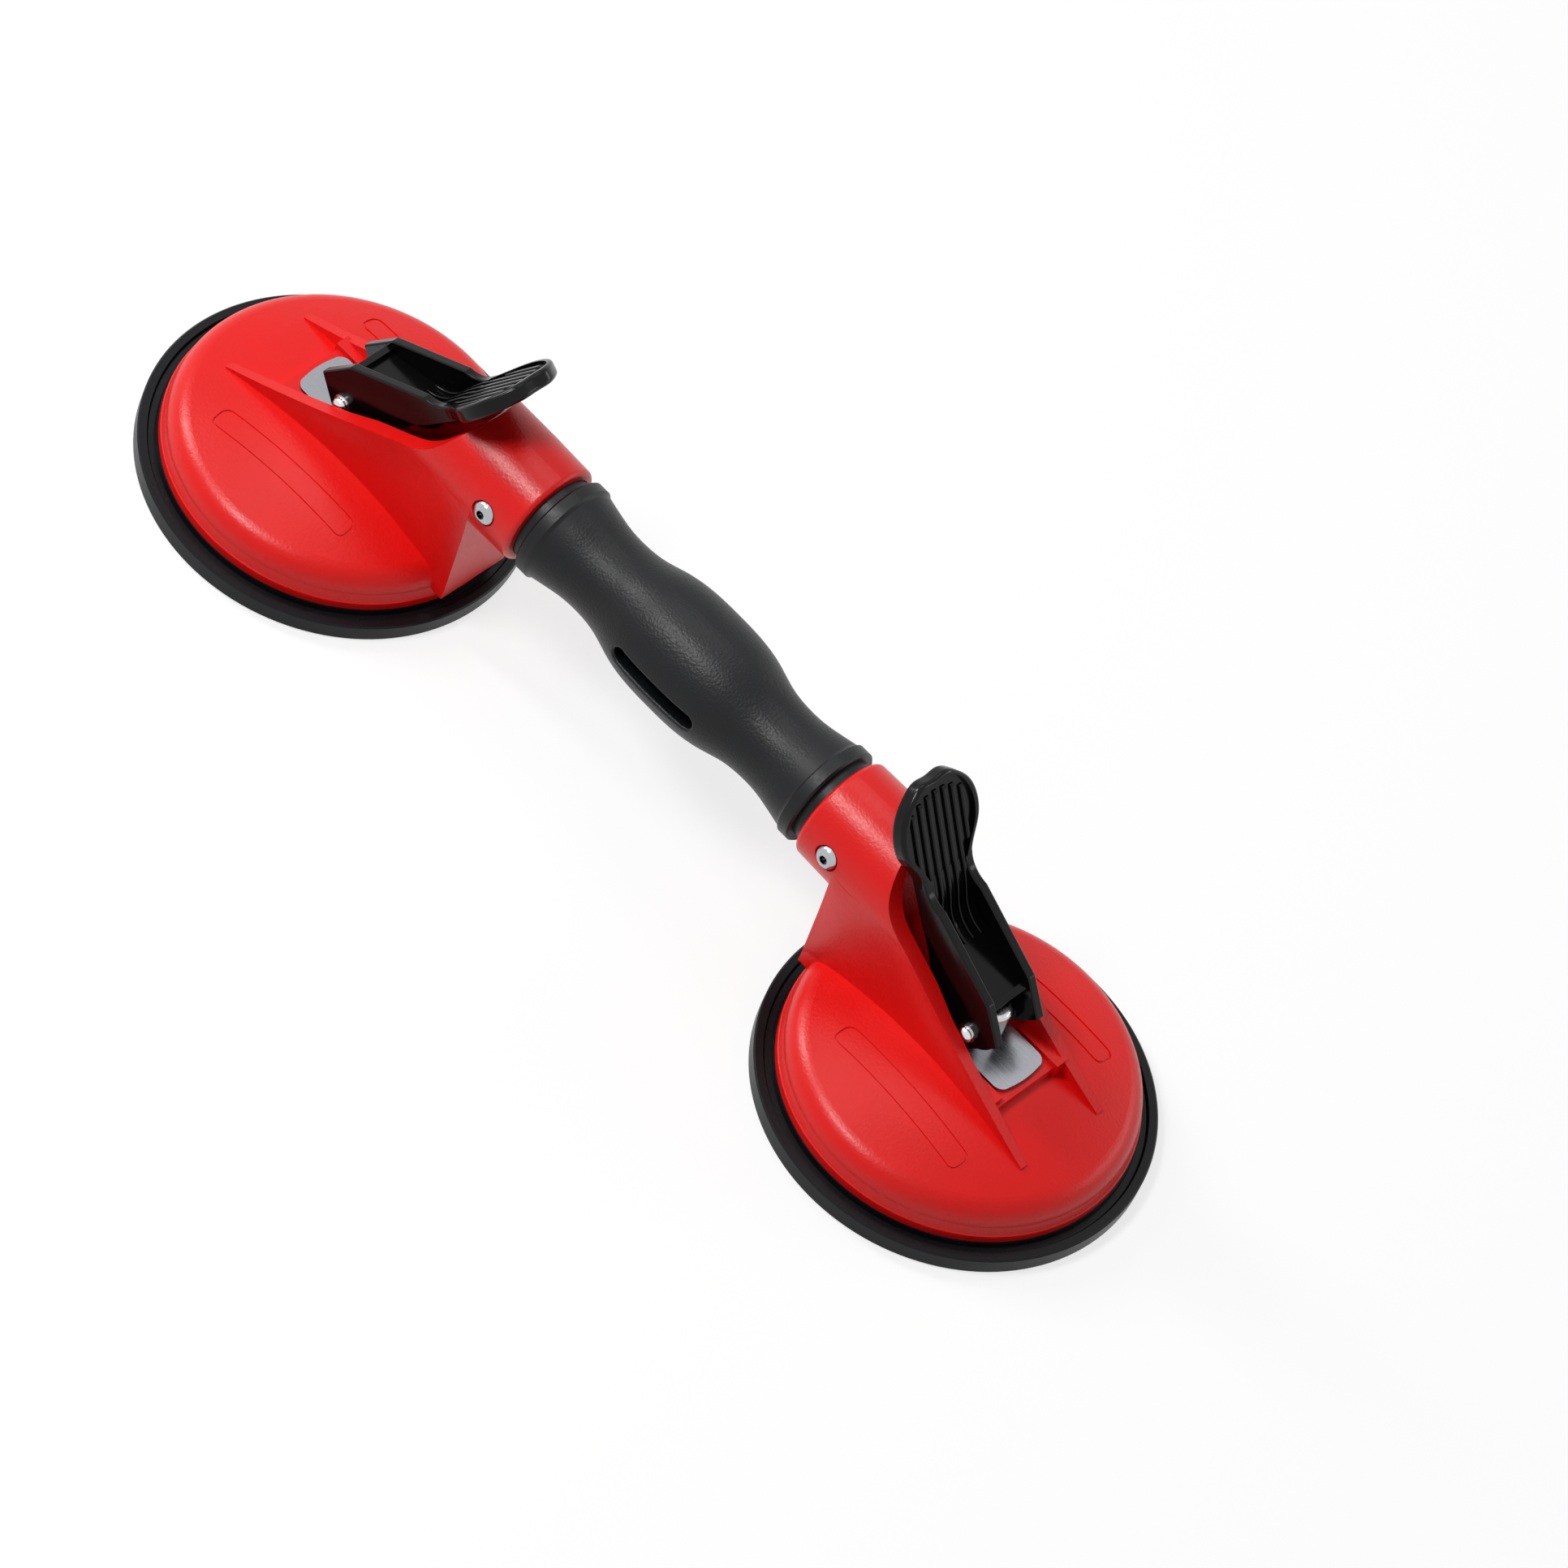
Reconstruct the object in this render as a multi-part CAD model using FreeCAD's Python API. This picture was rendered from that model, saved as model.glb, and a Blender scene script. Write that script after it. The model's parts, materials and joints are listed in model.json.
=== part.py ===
import FreeCAD, Part
import math
import os

V = FreeCAD.Vector

# ---------------------------------------------------------------- layout
CUP_SPACING = 262.0        # centre to centre of the two cups
HALF_SPAN = CUP_SPACING / 2.0
GRIP_Z = 60.0              # height of the handle axis above the floor

# ---------------------------------------------------------------- named clearances
SEAT_GAP = 0.15            # radial, skirt over the rubber ridge
SPIGOT_GAP = 0.2           # radial, handle spigot in the socket
BUSH_GAP = 0.08            # radial, stud in its guide bush
PIN_GAP = 0.05             # radial, lever pin in lever and stud
CAM_GAP = 0.05             # between the lever cam and the wear plate
SIDE_GAP = 0.2             # stud between the two lever bosses
PRESS_GAP = 0.02           # pressed and moulded-in metal parts
PLATE_GAP = 0.3            # wear plate around the stud and in its tab slot

# ---------------------------------------------------------------- rubber cup
PAD_R = 60.0
PAD_RIM_H = 6.2
SEAL_R = 48.0              # inner edge of the flat sealing ring
PAD_LIFT = 5.2             # underside of the drawn-up centre
LEDGE_Z = 7.0              # where the housing skirt sits
RIDGE_TOP = 10.2

# ---------------------------------------------------------------- moulded housing
SKIRT_R = 54.0
WALL = 3.0
BAND_H = 2.6               # plain band above the skirt edge
BAND_STEP = 0.35
DRAFT = 0.7
SHOULDER_R = 8.0
CROWN_R = 150.0
CROWN_TOP = 28.0
LANE = ((-60.0, 14.8), (-36.5, 14.8), (-20.0, 13.9), (5.0, 13.2), (14.0, 12.2))   # half width along u
LANE_END_U = 42.4          # rounded end of the channel under the finger pad
RIB_TIP_U = -36.5
WEB_HALF = 13.0            # half width of the web under the socket
WEB_END_U = 55.5
WEB_FOOT_Z = 11.5
SOCKET_R = 17.4            # outer radius of the socket tube
SOCKET_MOUTH_R = 17.1
SOCKET_ROOT_U = 14.0
RIB_OUT = SOCKET_R - 0.04  # outer face of the two ribs, running into the tube's flanks
SOCKET_MOUTH_U = 71.0
LIP_R = 1.8
BORE_R = 14.5
BULKHEAD_U = 44.0
BULKHEAD_T = 3.5
DECK_Z = 29.8              # deck that carries the wear plate
DECK_OUT_U = -19.8
DECK_IN_U = 14.0
BLOCK_IN_Y = 10.5          # guide blocks beside the wear plate
BLOCK_TOP = 31.6
BLOCK_PROUD = 1.0          # far block, past the deck front
BOSS_R = 9.5
BOSS_Z = 22.0
LABEL_LEN = 53.0
LABEL_W = 7.4
LABEL_R = 2.8
LABEL_TILT = 3.4
LABEL_Y = 29.3
LABEL_U = 1.0
LABEL_DEPTH = 0.4          # engraved outline
LABEL_LINE = 0.7

# ---------------------------------------------------------------- draw gear
PLATE_T = 1.5
WEAR_Z = DECK_Z + PLATE_T
WEAR_HALF = 9.6
WEAR_OUT_U = -18.0
WEAR_IN_U = 12.0
STUD_R = 5.0
STUD_NECK_R = 4.0
PULL_R = 22.0
PULL_T = 2.0
PULL_Z = PAD_LIFT + 3.0
PIN_Z = 41.3
PIN_R = 2.5
CAM_H0 = PIN_Z - WEAR_Z - CAM_GAP   # pin to plate with the lever folded in
CAM_RATE = 5.2                      # mm the stud drops per radian of lever
CAM_SWEEP = math.radians(51.0)      # from folded in to released
WIRE_R = 0.8
SPRING_R = 7.6
SPRING_TURNS = 3
TURN_STEPS = 20
BUSH_FLANGE_T = 1.5

# ---------------------------------------------------------------- lever
FORK_HALF = 10.0
CHEEK_T = 3.0
PAD_TILT = 58.0            # finger pad above the horizontal, folded in
PAD_C = (39.1, 46.9)       # finger pad centre from the pin
PAD_T = 5.0
PAD_EDGE_R = 1.3
FINGER_HALF = 15.7
FINGER_LEN = 16.0
FINGER_RIM = 2.2
FINGER_DEEP = 1.3
RIB_COUNT = 7
RIB_PITCH = 3.3
RIB_W = 1.5
RIB_RISE = 0.9             # ribs above the dish floor
CHEEK_EDGE_R = 0.6
FLAT_LEN = 14.8            # flat that rests on the plate when released
HEEL_R = 6.0               # rounded heel behind the cam
BROW = (-2.2, 15.0)        # front upper corner of the cheeks
BROW_R = 1.6
BEND = (23.5, 29.5)        # where the cheek tops turn up into the pad

# ---------------------------------------------------------------- handle grip
GRIP_END_X = 57.0
COLLAR_R = 16.8
COLLAR_W = 4.6
WAIST_X = 33.2
WAIST_R = 13.7
BULGE_R = 18.4
SPIGOT_LEN = 22.0
CORE_R = 9.5
SLOT_LEN = 32.0
SLOT_W = 5.6
SLOT_EDGE_R = 0.8
GRIP_WALL_Y = 12.0         # the slot's outer rim lies beyond this

# ---------------------------------------------------------------- clamp screw
SCREW_X = 71.5
SCREW_LIFT = 6.0           # degrees above the horizontal
SCREW_R = 2.0
HEAD_R = 3.8
HEAD_H = 2.2
HEX_AF = 2.5
HEAD_SEAT_R = 16.3
INSERT_R = 3.0


# ================================================================ helpers
def wire(start, steps, to3):
    """Chain lines, three-point arcs and splines into one closed wire."""
    edges, here = [], start
    for kind, *pts in steps:
        end = pts[-1]
        if kind == "L":
            edges.append(Part.LineSegment(to3(here), to3(end)).toShape())
        elif kind == "A":
            edges.append(Part.Arc(to3(here), to3(pts[0]), to3(end)).toShape())
        else:
            curve = Part.BSplineCurve()
            curve.interpolate([to3(p) for p in [here] + pts])
            edges.append(curve.toShape())
        here = end
    if (to3(here) - to3(start)).Length > 1e-6:
        edges.append(Part.LineSegment(to3(here), to3(start)).toShape())
    return Part.Wire(edges)


def side(y=0.0):
    """Side plane: u along X, height along Z."""
    return lambda p: V(p[0], y, p[1])


def lathe(start, steps):
    """Turn an (r, z) outline about the Z axis."""
    f = Part.Face(wire(start, steps, side()))
    return f.revolve(V(0, 0, 0), V(0, 0, 1), 360)


def lathe_x(start, steps, z=GRIP_Z):
    """Turn an (x, r) outline about an X axis at height z."""
    f = Part.Face(wire(start, steps, lambda p: V(p[0], 0, z + p[1])))
    return f.revolve(V(0, 0, z), V(1, 0, 0), 360)


def prism(start, steps, y0, y1):
    """Push a side outline across the part from y0 to y1."""
    return Part.Face(wire(start, steps, side(y0))).extrude(V(0, y1 - y0, 0))


def box(u0, u1, y0, y1, z0, z1):
    return Part.makeBox(u1 - u0, y1 - y0, z1 - z0, V(u0, y0, z0))


def rod(r, base, top):
    d = top - base
    return Part.makeCylinder(r, d.Length, base, d)


def poly(*pts):
    return pts[0], [("L", p) for p in pts[1:]]


def polar(r, deg, centre=(0.0, 0.0)):
    a = math.radians(deg)
    return centre[0] + r * math.cos(a), centre[1] + r * math.sin(a)


def edges_where(shape, test):
    return [e for e in shape.Edges if test(e)]


# ================================================================ housing
def dome(offset, floor_z):
    """Outer dome solid, or the cavity when an offset is given."""
    r0 = SKIRT_R - offset
    crown = CROWN_R - offset
    cz = CROWN_TOP - CROWN_R
    sh = SHOULDER_R - offset
    r1 = SKIRT_R - DRAFT - BAND_STEP - offset
    sc_r = r1 - sh
    sc_z = cz + math.sqrt((crown - sh) ** 2 - sc_r ** 2)
    top_a = math.atan2(sc_z - cz, sc_r)
    t = (crown * math.cos(top_a), cz + crown * math.sin(top_a))
    mid = polar(sh, math.degrees(top_a) / 2.0, (sc_r, sc_z))
    crown_mid = polar(crown, (math.degrees(top_a) + 90.0) / 2.0, (0, cz))
    if offset:
        steps = [("L", (r0, floor_z)), ("L", (r1, sc_z))]
    else:
        steps = [("L", (r0, floor_z)), ("L", (r0, floor_z + BAND_H)),
                 ("L", (r0 - BAND_STEP, floor_z + BAND_H + BAND_STEP)), ("L", (r1, sc_z))]
    steps += [("A", mid, t), ("A", crown_mid, (0, cz + crown))]
    return lathe((0, floor_z), steps)


RIB_LINE = [(RIB_TIP_U, 23.2), (-22.5, 30.0), (3.6, 44.3), (20.2, 54.2), (36.0, 65.7), (40.0, 72.4),
            (44.0, 78.6)]


def flank_section(u):
    """Cross-section of the neck at u; its sides curve in toward a narrower web."""
    s = min(max((u - RIB_TIP_U) / (38.0 - RIB_TIP_U), 0.0), 1.0)
    top = min(25.2 + 41.0 * s, GRIP_Z)
    foot = 16.0
    half = RIB_OUT - (RIB_OUT - WEB_HALF) * s
    web = max((s - 0.7) / 0.3, 0.0)           # the hollow eases out toward the web
    mix = lambda a, b: a + (b - a) * web
    hollow = [mix(0.08 + 0.30 * s, 0.10), mix(0.45 + 0.47 * s, 0.36), mix(0.85 + 0.15 * s, 0.75)]
    depth = [mix(0.20, 0.12), mix(0.36, 0.32), mix(0.62, 0.72)]
    pts = [(RIB_OUT, top)]
    pts += [(RIB_OUT - (RIB_OUT - half) * g, top - (top - foot) * d) for g, d in zip(hollow, depth)]
    pts += [(half, foot)]
    left = [(-y, z) for y, z in pts]
    return wire(left[0], [("L", pts[0]), ("S", *pts[1:]), ("L", left[-1]), ("S", *left[-2::-1])],
                lambda p: V(u, p[0], p[1]))


def neck():
    """Ribs, neck and handle socket as one mass before it is hollowed."""
    stations = (RIB_TIP_U, -20.0, 0.0, 15.0, 27.0, 38.0, WEB_END_U)
    body = Part.makeLoft([flank_section(u) for u in stations], True)
    web = box(38.0, WEB_END_U, -WEB_HALF, WEB_HALF, WEB_FOOT_Z, 30.0)
    lip_mid = polar(LIP_R, 45, (SOCKET_MOUTH_U - LIP_R, SOCKET_MOUTH_R - LIP_R))
    tube = lathe_x((SOCKET_ROOT_U, 0), [
        ("L", (SOCKET_ROOT_U, SOCKET_R)), ("L", (WEB_END_U, SOCKET_R)),
        ("L", (SOCKET_MOUTH_U - LIP_R, SOCKET_MOUTH_R)),
        ("A", lip_mid, (SOCKET_MOUTH_U, SOCKET_MOUTH_R - LIP_R)), ("L", (SOCKET_MOUTH_U, 0))])
    mass = body.fuse([web, tube])
    above = prism(RIB_LINE[0], [("S", *RIB_LINE[1:]), ("L", (44.0, 100.0)), ("L", (-60.0, 100.0)),
                                ("L", (-60.0, RIB_LINE[0][1]))], -40, 40)
    return mass.cut(above)


def channel():
    """Space between the ribs that the lever folds into."""
    lane = prism(*poly((-60, 0), (DECK_OUT_U, 0), (DECK_OUT_U, DECK_Z), (DECK_IN_U, DECK_Z), (34.0, 56.0),
                       (BULKHEAD_U, GRIP_Z), (BULKHEAD_U, 100), (-60, 100)), -40, 40)
    edge = list(LANE) + [(LANE_END_U - LANE[-1][1], LANE[-1][1])]
    steps = [("L", p) for p in edge[1:]]
    steps.append(("A", (LANE_END_U, 0), (edge[-1][0], -edge[-1][1])))
    steps += [("L", (u, -y)) for u, y in reversed(edge[:-1])]
    plan = Part.Face(wire(edge[0], steps, lambda p: V(p[0], p[1], 0))).extrude(V(0, 0, 100))
    return lane.common(plan)


def label_recess(dome_solid):
    """Engraved outline of a bare plate on each side of the dome."""
    thin = dome(LABEL_DEPTH, LEDGE_Z - 5)
    rounded = []
    for inset in (0.0, LABEL_LINE):
        a, b = LABEL_LEN / 2.0 - inset, LABEL_W / 2.0 - inset
        block = Part.makeBox(2 * a, 2 * b, 30, V(-a, -b, 8))
        upright = edges_where(block, lambda e: e.BoundBox.ZLength > 2 * LABEL_W)
        rounded.append(block.makeFillet(LABEL_R - inset, upright))
    bar = rounded[0].cut(rounded[1])
    plates = []
    for s in (-1, 1):
        p = bar.copy()
        p.rotate(V(0, 0, 0), V(0, 0, 1), -s * LABEL_TILT)
        p.translate(V(LABEL_U, s * LABEL_Y, 0))
        plates.append(p.cut(thin))
    return plates


def screw_axis(u):
    """Point on the socket axis and the outward direction of the clamp screw."""
    a = math.radians(SCREW_LIFT)
    return V(u, 0, GRIP_Z), V(0, -math.cos(a), math.sin(a))


def housing():
    outer = dome(0.0, LEDGE_Z)
    body = outer.fuse(neck().cut(channel()))
    wall_y = RIB_OUT - 2.0
    blocks = [box(DECK_OUT_U - s * BLOCK_PROUD, -4.5, min(s * BLOCK_IN_Y, s * wall_y),
                  max(s * BLOCK_IN_Y, s * wall_y), 24.0, BLOCK_TOP) for s in (-1, 1)]
    body = body.fuse(blocks)
    cavity = dome(WALL, LEDGE_Z - 1)
    core_end = WEB_END_U - WALL
    core = prism(*poly((28.0, 5), (28.0, 30.0), (40.0, 43.0), (core_end, 43.0), (core_end, 5)),
                 WALL - WEB_HALF, WEB_HALF - WALL)
    boss = lathe((0, BOSS_Z), [("L", (BOSS_R, BOSS_Z)), ("L", (BOSS_R + 0.6, 27.0)), ("L", (0, 27.0))])
    root = BOSS_R - 0.2
    stiff = [box(-1.2, 1.2, min(s * root, s * 49.0), max(s * root, s * 49.0), 16.0, 26.0) for s in (-1, 1)]
    stiff.append(box(-49.0, -root, -1.2, 1.2, 16.0, 26.0))
    inside = dome(WALL - 0.5, LEDGE_Z - 1)
    body = body.cut(cavity.fuse(core))
    body = body.fuse([boss] + [b.common(inside) for b in stiff])
    bush_hole = rod(STUD_R + 2.2, V(0, 0, 10), V(0, 0, 40))
    slot = box(WEAR_IN_U - PLATE_T - PLATE_GAP, WEAR_IN_U + PLATE_GAP, -4.3, 4.3, DECK_Z - 4.0, DECK_Z + 1)
    bore = rod(BORE_R, V(BULKHEAD_U + BULKHEAD_T, 0, GRIP_Z), V(SOCKET_MOUTH_U + 5, 0, GRIP_Z))
    o, d = screw_axis(HALF_SPAN - SCREW_X)
    hole = rod(SCREW_R + 0.25, o, o + d * 30)
    cbore = rod(HEAD_R + 0.35, o + d * HEAD_SEAT_R, o + d * 30)
    body = body.cut(bush_hole.fuse([slot, bore, hole, cbore] + label_recess(outer)))
    return body.removeSplitter()


# ================================================================ rubber, plate, stud, bush, spring
def suction_pad():
    lip_z = PULL_Z + PULL_T
    ridge_r = SKIRT_R - DRAFT - BAND_STEP - WALL - SEAT_GAP
    return lathe((0, PAD_LIFT), [
        ("L", (24, PAD_LIFT)), ("S", (34, 3.9), (42, 1.6), (46.4, 0.5)), ("L", (SEAL_R, 0)),
        ("L", (PAD_R - 0.7, 0)), ("L", (PAD_R, 0.7)), ("L", (PAD_R, PAD_RIM_H - 0.5)),
        ("L", (PAD_R - 0.5, PAD_RIM_H)), ("L", (57.2, PAD_RIM_H)), ("L", (56.6, 5.2)),
        ("L", (54.8, 5.2)), ("L", (54.4, LEDGE_Z)), ("L", (ridge_r, LEDGE_Z)),
        ("L", (ridge_r, RIDGE_TOP - 0.6)), ("L", (ridge_r - 0.6, RIDGE_TOP)), ("L", (48.2, RIDGE_TOP)),
        ("L", (47.6, 9.4)), ("S", (46.8, 5.6), (43.0, 4.6), (34, 6.6), (25.4, 8.4)),
        ("L", (24.6, lip_z + 1.2)), ("L", (20.0, lip_z + 1.2)), ("L", (20.0, lip_z)),
        ("L", (PULL_R + 0.1, lip_z)), ("L", (PULL_R + 0.1, PULL_Z)), ("L", (6.2, PULL_Z)),
        ("L", (6.2, PULL_Z - 1.0)), ("L", (0, PULL_Z - 1.0))])


def pull_plate():
    disc = rod(PULL_R, V(0, 0, PULL_Z), V(0, 0, PULL_Z + PULL_T))
    holes = [rod(1.8, V(*polar(15, a), 0), V(*polar(15, a), 20)) for a in range(0, 360, 60)]
    return disc.cut([rod(STUD_NECK_R + PRESS_GAP, V(0, 0, 0), V(0, 0, 20))] + holes)


def draw_stud():
    top = PIN_Z + 5.4
    shoulder = PULL_Z + PULL_T
    body = lathe((0, PULL_Z - 0.8), [
        ("L", (5.6, PULL_Z - 0.8)), ("L", (6.0, PULL_Z - 0.4)), ("L", (6.0, PULL_Z)),
        ("L", (STUD_NECK_R, PULL_Z)), ("L", (STUD_NECK_R, shoulder)), ("L", (STUD_R, shoulder)),
        ("L", (STUD_R, top - 1.6)), ("A", polar(1.6, 45, (STUD_R - 1.6, top - 1.6)), (STUD_R - 1.6, top)),
        ("L", (0, top))])
    return body.cut(rod(PIN_R + PIN_GAP, V(0, -20, PIN_Z), V(0, 20, PIN_Z)))


def guide_bush():
    inner = STUD_R + BUSH_GAP
    outer = STUD_R + 2.2 - PRESS_GAP
    return lathe((inner, BOSS_Z - BUSH_FLANGE_T), [
        ("L", (BOSS_R - 0.5, BOSS_Z - BUSH_FLANGE_T)), ("L", (BOSS_R - 0.5, BOSS_Z)), ("L", (outer, BOSS_Z)),
        ("L", (outer, DECK_Z)), ("L", (inner, DECK_Z))])


def return_spring():
    """Compression spring: wire sections set along the helix and joined by straight strips."""
    z0 = PULL_Z + PULL_T + WIRE_R
    z1 = BOSS_Z - BUSH_FLANGE_T - WIRE_R
    steps = SPRING_TURNS * TURN_STEPS
    sections = []
    for i in range(steps + 1):
        section = Part.Wire(Part.makeCircle(WIRE_R, V(SPRING_R, 0, 0), V(0, 1, 0)))
        section.rotate(V(0, 0, 0), V(0, 0, 1), 360.0 * i / TURN_STEPS)
        section.translate(V(0, 0, z0 + (z1 - z0) * i / steps))
        sections.append(section)
    return Part.makeLoft(sections, True, True)


def wear_plate():
    corner, end = 3.4, WEAR_OUT_U + 0.6
    w = WEAR_HALF
    top = lambda p: V(p[0], p[1], DECK_Z)
    near = polar(corner, 135, (end + corner, w - corner))
    f = Part.Face(wire((WEAR_IN_U, -w), [
        ("L", (WEAR_IN_U, w)), ("L", (end + corner, w)), ("A", near, (end, w - corner)),
        ("A", (WEAR_OUT_U, 0), (end, corner - w)), ("A", (near[0], -near[1]), (end + corner, -w))], top))
    sheet = f.extrude(V(0, 0, PLATE_T))
    tab = box(WEAR_IN_U - PLATE_T, WEAR_IN_U, -4.0, 4.0, DECK_Z - 3.6, DECK_Z)
    return sheet.fuse(tab).cut(rod(STUD_R + PLATE_GAP, V(0, 0, 0), V(0, 0, 60))).removeSplitter()


# ================================================================ lever
def cam_point(theta):
    """Point on the cam whose tangent lies on the plate when the lever has turned by theta.

    The distance from pin to tangent is CAM_H0 - CAM_RATE * theta, so the stud drops in
    proportion to the lever angle: the curve is an involute of a circle of radius CAM_RATE.
    """
    h = CAM_H0 - CAM_RATE * theta
    s, c = math.sin(theta), math.cos(theta)
    return -h * s + CAM_RATE * c, -h * c - CAM_RATE * s


def pad_frame():
    a = math.radians(PAD_TILT)
    along = (math.cos(a), math.sin(a))
    face = (-math.sin(a), math.cos(a))
    return along, face


def pad_point(s, n):
    """Side-view point at s along the finger pad and n above its face."""
    along, face = pad_frame()
    return PAD_C[0] + s * along[0] + n * face[0], PAD_C[1] + s * along[1] + n * face[1]


def finger_outline(grow, back, top):
    """Solid with the finger pad's outline, from back to top along the face's normal."""
    h = FINGER_HALF + grow
    e = FINGER_LEN + grow
    neck_w = FORK_HALF + grow
    pts = [(-e, neck_w), (-10.5, 11.6 + grow), (-4.0, 15.0 + grow), (2.0, h), (8.5, 13.9 + grow),
           (13.6, 9.4 + grow), (16.3 + grow, 4.4 + grow * 0.5), (e, 0.0)]
    full = pts + [(s, -y) for s, y in pts[-2::-1]]
    at = lambda p: V(pad_point(p[0], back)[0], p[1], pad_point(p[0], back)[1])
    f = Part.Face(wire(full[0], [("S", *full[1:])], at))
    _, face = pad_frame()
    return f.extrude(V(face[0], 0, face[1]) * (top - back))


def rounded_corner(before, corner, after, r):
    """Start, middle and end of an arc of radius r that rounds the corner between two lines."""
    to = [V(p[0] - corner[0], p[1] - corner[1], 0).normalize() for p in (before, after)]
    half = to[0].getAngle(to[1]) / 2.0
    at = V(corner[0], corner[1], 0)
    mid = at + (to[0] + to[1]).normalize() * (r / math.sin(half) - r)
    start, end = (at + d * (r / math.tan(half)) for d in to)
    return (start.x, start.y), (mid.x, mid.y), (end.x, end.y)


def cheeks():
    """The fork's two side walls, with the cam below and rounded upper edges."""
    cam = [cam_point(CAM_SWEEP * (1 - i / 8.0)) for i in range(9)]
    flat_end = (cam[0][0] - FLAT_LEN * math.cos(CAM_SWEEP), cam[0][1] + FLAT_LEN * math.sin(CAM_SWEEP))
    heel_c = (cam[-1][0], cam[-1][1] + HEEL_R)
    brow_in, brow_mid, brow_out = rounded_corner(BEND, BROW, flat_end, BROW_R)
    steps = [
        ("L", cam[0]), ("S", *cam[1:]), ("A", polar(HEEL_R, -62, heel_c), polar(HEEL_R, -34, heel_c)),
        ("L", (21.4, 13.2)), ("A", (24.6, 17.6), (28.0, 21.6)), ("L", pad_point(-9.0, -PAD_T)),
        ("L", pad_point(-5.0, -1.0)), ("L", pad_point(-FINGER_LEN + 1.0, 0.0)),
        ("A", pad_point(-FINGER_LEN - 3.4, 1.0), BEND), ("L", brow_in), ("A", brow_mid, brow_out)]

    def upper(edge):
        c = edge.CenterOfMass
        return edge.BoundBox.YLength < 1e-6 and c.z > 12.2 + 0.5 * c.x and c.x < 30.0

    walls = []
    for y in (-FORK_HALF, FORK_HALF - CHEEK_T):
        wall = prism(flat_end, steps, y, y + CHEEK_T)
        walls.append(wall.makeFillet(CHEEK_EDGE_R, edges_where(wall, upper)))
    return walls


def trough_line(lift):
    """Upper side of the fork's floor, from the trough up the bend to the finger pad's dish."""
    run = [(17.5, 15.6), (21.8, 17.3), (25.4, 21.0), (27.8, 26.0), (30.2, 30.6)]
    return [(u - 0.75 * lift, z + 0.65 * lift) for u, z in run] + [pad_point(-12.5, lift - FINGER_DEEP)]


def finger_ribs():
    """Ribs that start near the pad's tip, and in the middle run down the bend into the trough."""
    ribs = []
    for i in range(RIB_COUNT):
        y = (i - (RIB_COUNT - 1) / 2.0) * RIB_PITCH
        tip = 12.0 * math.sqrt(1 - (y / 14.2) ** 2)
        crest = RIB_RISE - FINGER_DEEP
        inner = abs(y) < FORK_HALF - CHEEK_T
        steps = [("L", pad_point(tip, -2.2)), ("L", pad_point(tip, crest - 0.5)),
                 ("L", pad_point(tip - 0.9, crest)), ("L", pad_point(-12.5 if inner else -9.0, crest))]
        if inner:
            steps += [("S", *trough_line(RIB_RISE)[-2::-1]), ("L", (18.2, 14.6)), ("L", (25.0, 19.0))]
        rib = prism(pad_point(-14.0 if inner else -9.0, -2.2), steps, y - RIB_W / 2.0, y + RIB_W / 2.0)
        ribs.append(rib.makeFillet(RIB_W / 3.0, edges_where(rib, lambda e: on_crest(e, crest))))
    return ribs


def on_crest(edge, crest):
    """True for a rib's upper edges: the straight one on the pad and the curved one down the bend."""
    _, face = pad_frame()
    c = edge.CenterOfMass
    height = (c.x - PAD_C[0]) * face[0] + (c.z - PAD_C[1]) * face[1]
    lengthwise = edge.BoundBox.YLength < 1e-6 and edge.Length > 9.0
    return lengthwise and (isinstance(edge.Curve, Part.BSplineCurve) or abs(height - crest) < 0.05)


def lever():
    inner = FORK_HALF - CHEEK_T + 0.5
    line = trough_line(0.0)
    floor = prism((-2.8, 10.6), [
        ("L", line[0]), ("S", *line[1:]), ("L", pad_point(-11.5, -PAD_T)), ("L", (32.0, 26.6)),
        ("A", (27.4, 17.2), (18.8, 12.9)), ("L", (-1.8, 8.0))], -inner, inner)
    sill = prism(*poly((-2.8, 10.6), (-3.1, 12.0), (-0.9, 12.6), (-0.6, 11.1)), -inner, inner)
    paddle = finger_outline(0.0, -PAD_T, 0.0)
    paddle = paddle.makeFillet(PAD_EDGE_R, edges_where(paddle, lambda e: e.Length > 40))
    dish = finger_outline(-FINGER_RIM, -FINGER_DEEP, 1.0)
    gap = FORK_HALF - CHEEK_T
    throat = prism(line[0], [
        ("S", *line[1:]), ("L", pad_point(-6.0, -FINGER_DEEP)), ("L", pad_point(-6.0, 6.0)),
        ("L", (10.0, 40.0))], -gap, gap)
    bosses = [rod(4.6, V(0, s * (STUD_R + SIDE_GAP), 0), V(0, s * (FORK_HALF - 1.0), 0)) for s in (-1, 1)]
    body = floor.fuse(cheeks() + [sill, paddle] + bosses)
    body = body.cut(dish.fuse(throat)).fuse(finger_ribs())
    body = body.cut(rod(PIN_R + PIN_GAP, V(0, -30, 0), V(0, 30, 0))).removeSplitter()
    body.translate(V(0, 0, PIN_Z))
    return body


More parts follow.
